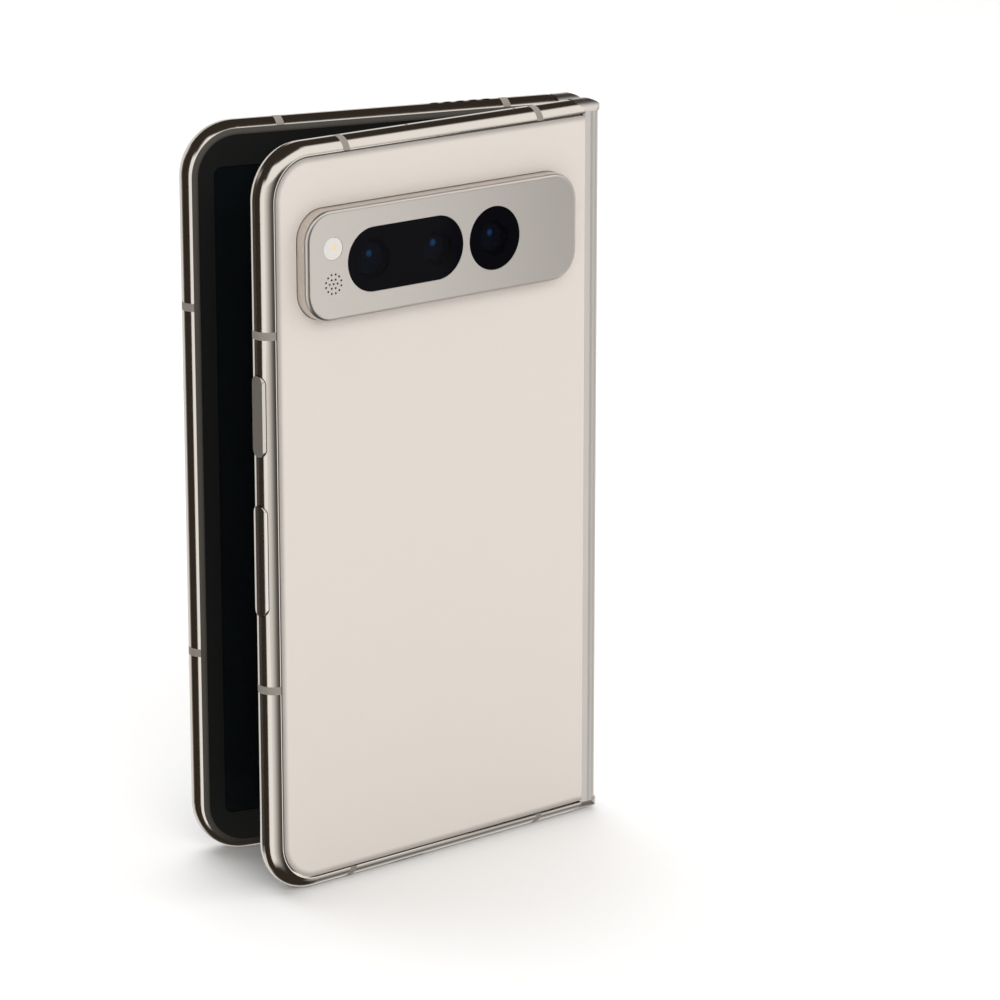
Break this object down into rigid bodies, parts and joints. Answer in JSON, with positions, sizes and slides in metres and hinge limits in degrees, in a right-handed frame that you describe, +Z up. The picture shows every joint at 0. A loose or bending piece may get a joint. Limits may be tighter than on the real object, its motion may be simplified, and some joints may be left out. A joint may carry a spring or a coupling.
{
  "type": "foldable smartphone",
  "caption": "Book-style folding phone standing partly open, with a raised camera bar, geared hinge ends in a rounded spine, side keys and a card tray.",
  "frame": {"origin": "the crest of the rear half's bottom rail, at the middle of the closed width, in the rear half's middle plane; the phone stands on its bottom rails", "axes": "+Z up along the height, +X from the open edge towards the spine, +Y from the back with the camera bar towards the front half"},
  "size_m": [0.0808, 0.0353, 0.1397],
  "materials": {
    "rail_metal": "polished warm nickel-toned rails",
    "bar_metal": "satin champagne metal",
    "band_plastic": "grey-beige antenna band plastic",
    "porcelain": "matte coated porcelain-white glass",
    "black_glass": "polished black glass",
    "lens": "coated lens and black barrel",
    "flash": "frosted clear lens",
    "led": "yellow phosphor chip",
    "screen": "dark folding display",
    "bezel": "black elastomer bezel",
    "steel": "fine-ground stainless steel",
    "dark_steel": "blackened steel",
    "dark_plastic": "black moulded plastic",
    "battery": "dark grey pouch film",
    "board": "green circuit board",
    "copper": "enamelled copper winding",
    "display_glass": "cover display panel"
  },
  "bodies": {
    "rear_half": {"rear_frame": "rail_metal", "rear_antenna_bands": "band_plastic", "back_glass": "porcelain", "camera_bar": "bar_metal", "pill_window": "black_glass", "round_window": "black_glass", "main_camera": "lens", "wide_camera": "lens", "tele_camera": "lens", "flash_lens": "flash", "flash_led": "led", "power_switch": "dark_plastic", "volume_switches": "dark_plastic", "rear_battery": "battery", "main_board": "board", "board_shields": "steel", "charging_port": "steel", "bottom_speaker": "dark_plastic", "vibration_motor": "steel", "charging_coil": "copper", "rear_display": "screen", "rear_support_sheet": "steel", "rear_bezel": "bezel", "inner_camera": "lens", "rear_hinge_arms": "steel", "rear_arm_screws": "dark_steel"},
    "front_half": {"front_frame": "rail_metal", "front_antenna_bands": "band_plastic", "cover_glass": "black_glass", "cover_display": "display_glass", "cover_camera": "lens", "earpiece": "dark_plastic", "front_battery": "battery", "sub_board": "board", "top_speaker": "dark_plastic", "front_display": "screen", "front_support_sheet": "steel", "front_bezel": "bezel", "front_hinge_arms": "steel", "front_arm_screws": "dark_steel"},
    "spine": {"spine_cover": "rail_metal", "spine_brackets": "steel", "hinge_pins": "steel", "display_fold": "screen"},
    "power_key": {"power_button": "rail_metal"},
    "volume_key": {"volume_rocker": "rail_metal"},
    "tray": {"card_tray": "rail_metal"},
    "idler_top_rear": {"idler_gear_top_rear": "steel"},
    "idler_top_front": {"idler_gear_top_front": "steel"},
    "idler_low_rear": {"idler_gear_low_rear": "steel"},
    "idler_low_front": {"idler_gear_low_front": "steel"}
  },
  "joints": [
    {"name": "hinge_rear", "type": "hinge", "parent": "rear_half", "child": "spine", "pos_m": [0.03673, 0.00028, 0], "axis": [0, 0, -1], "range_deg": [-8, 82]},
    {"name": "hinge_front", "type": "hinge", "parent": "spine", "child": "front_half", "pos_m": [0.03753, 0.00597, 0], "axis": [0, 0, -1], "range_deg": [-8, 82]},
    {"name": "idler_top_rear_spin", "type": "hinge", "parent": "spine", "child": "idler_top_rear", "pos_m": [0.03702, 0.00235, 0], "axis": [0, 0, -1], "range_deg": [-13.83, 137.17]},
    {"name": "idler_top_front_spin", "type": "hinge", "parent": "spine", "child": "idler_top_front", "pos_m": [0.03723, 0.0039, 0], "axis": [0, 0, -1], "range_deg": [-137.17, 13.83]},
    {"name": "idler_low_rear_spin", "type": "hinge", "parent": "spine", "child": "idler_low_rear", "pos_m": [0.03702, 0.00235, 0], "axis": [0, 0, -1], "range_deg": [-13.83, 137.17]},
    {"name": "idler_low_front_spin", "type": "hinge", "parent": "spine", "child": "idler_low_front", "pos_m": [0.03723, 0.0039, 0], "axis": [0, 0, -1], "range_deg": [-137.17, 13.83]},
    {"name": "power_press", "type": "slide", "parent": "rear_half", "child": "power_key", "axis": [1, 0, 0], "range_m": [0, 0.0003], "stiffness_N_per_m": 8000},
    {"name": "volume_rock", "type": "hinge", "parent": "rear_half", "child": "volume_key", "pos_m": [-0.03755, -0.00036, 0.0643], "axis": [0, 1, 0], "range_deg": [-1.2, 1.2], "stiffness_Nm_per_rad": 0.9},
    {"name": "tray_slide", "type": "slide", "parent": "front_half", "child": "tray", "axis": [0, 0, -1], "range_m": [0, 0.018]}
  ],
  "couplings": [
    {"joint": "hinge_front", "follows": "hinge_rear", "ratio": 1},
    {"joint": "idler_top_rear_spin", "follows": "hinge_rear", "ratio": 1.6667},
    {"joint": "idler_top_front_spin", "follows": "hinge_rear", "ratio": -1.6667},
    {"joint": "idler_low_rear_spin", "follows": "hinge_rear", "ratio": 1.6667},
    {"joint": "idler_low_front_spin", "follows": "hinge_rear", "ratio": -1.6667}
  ]
}
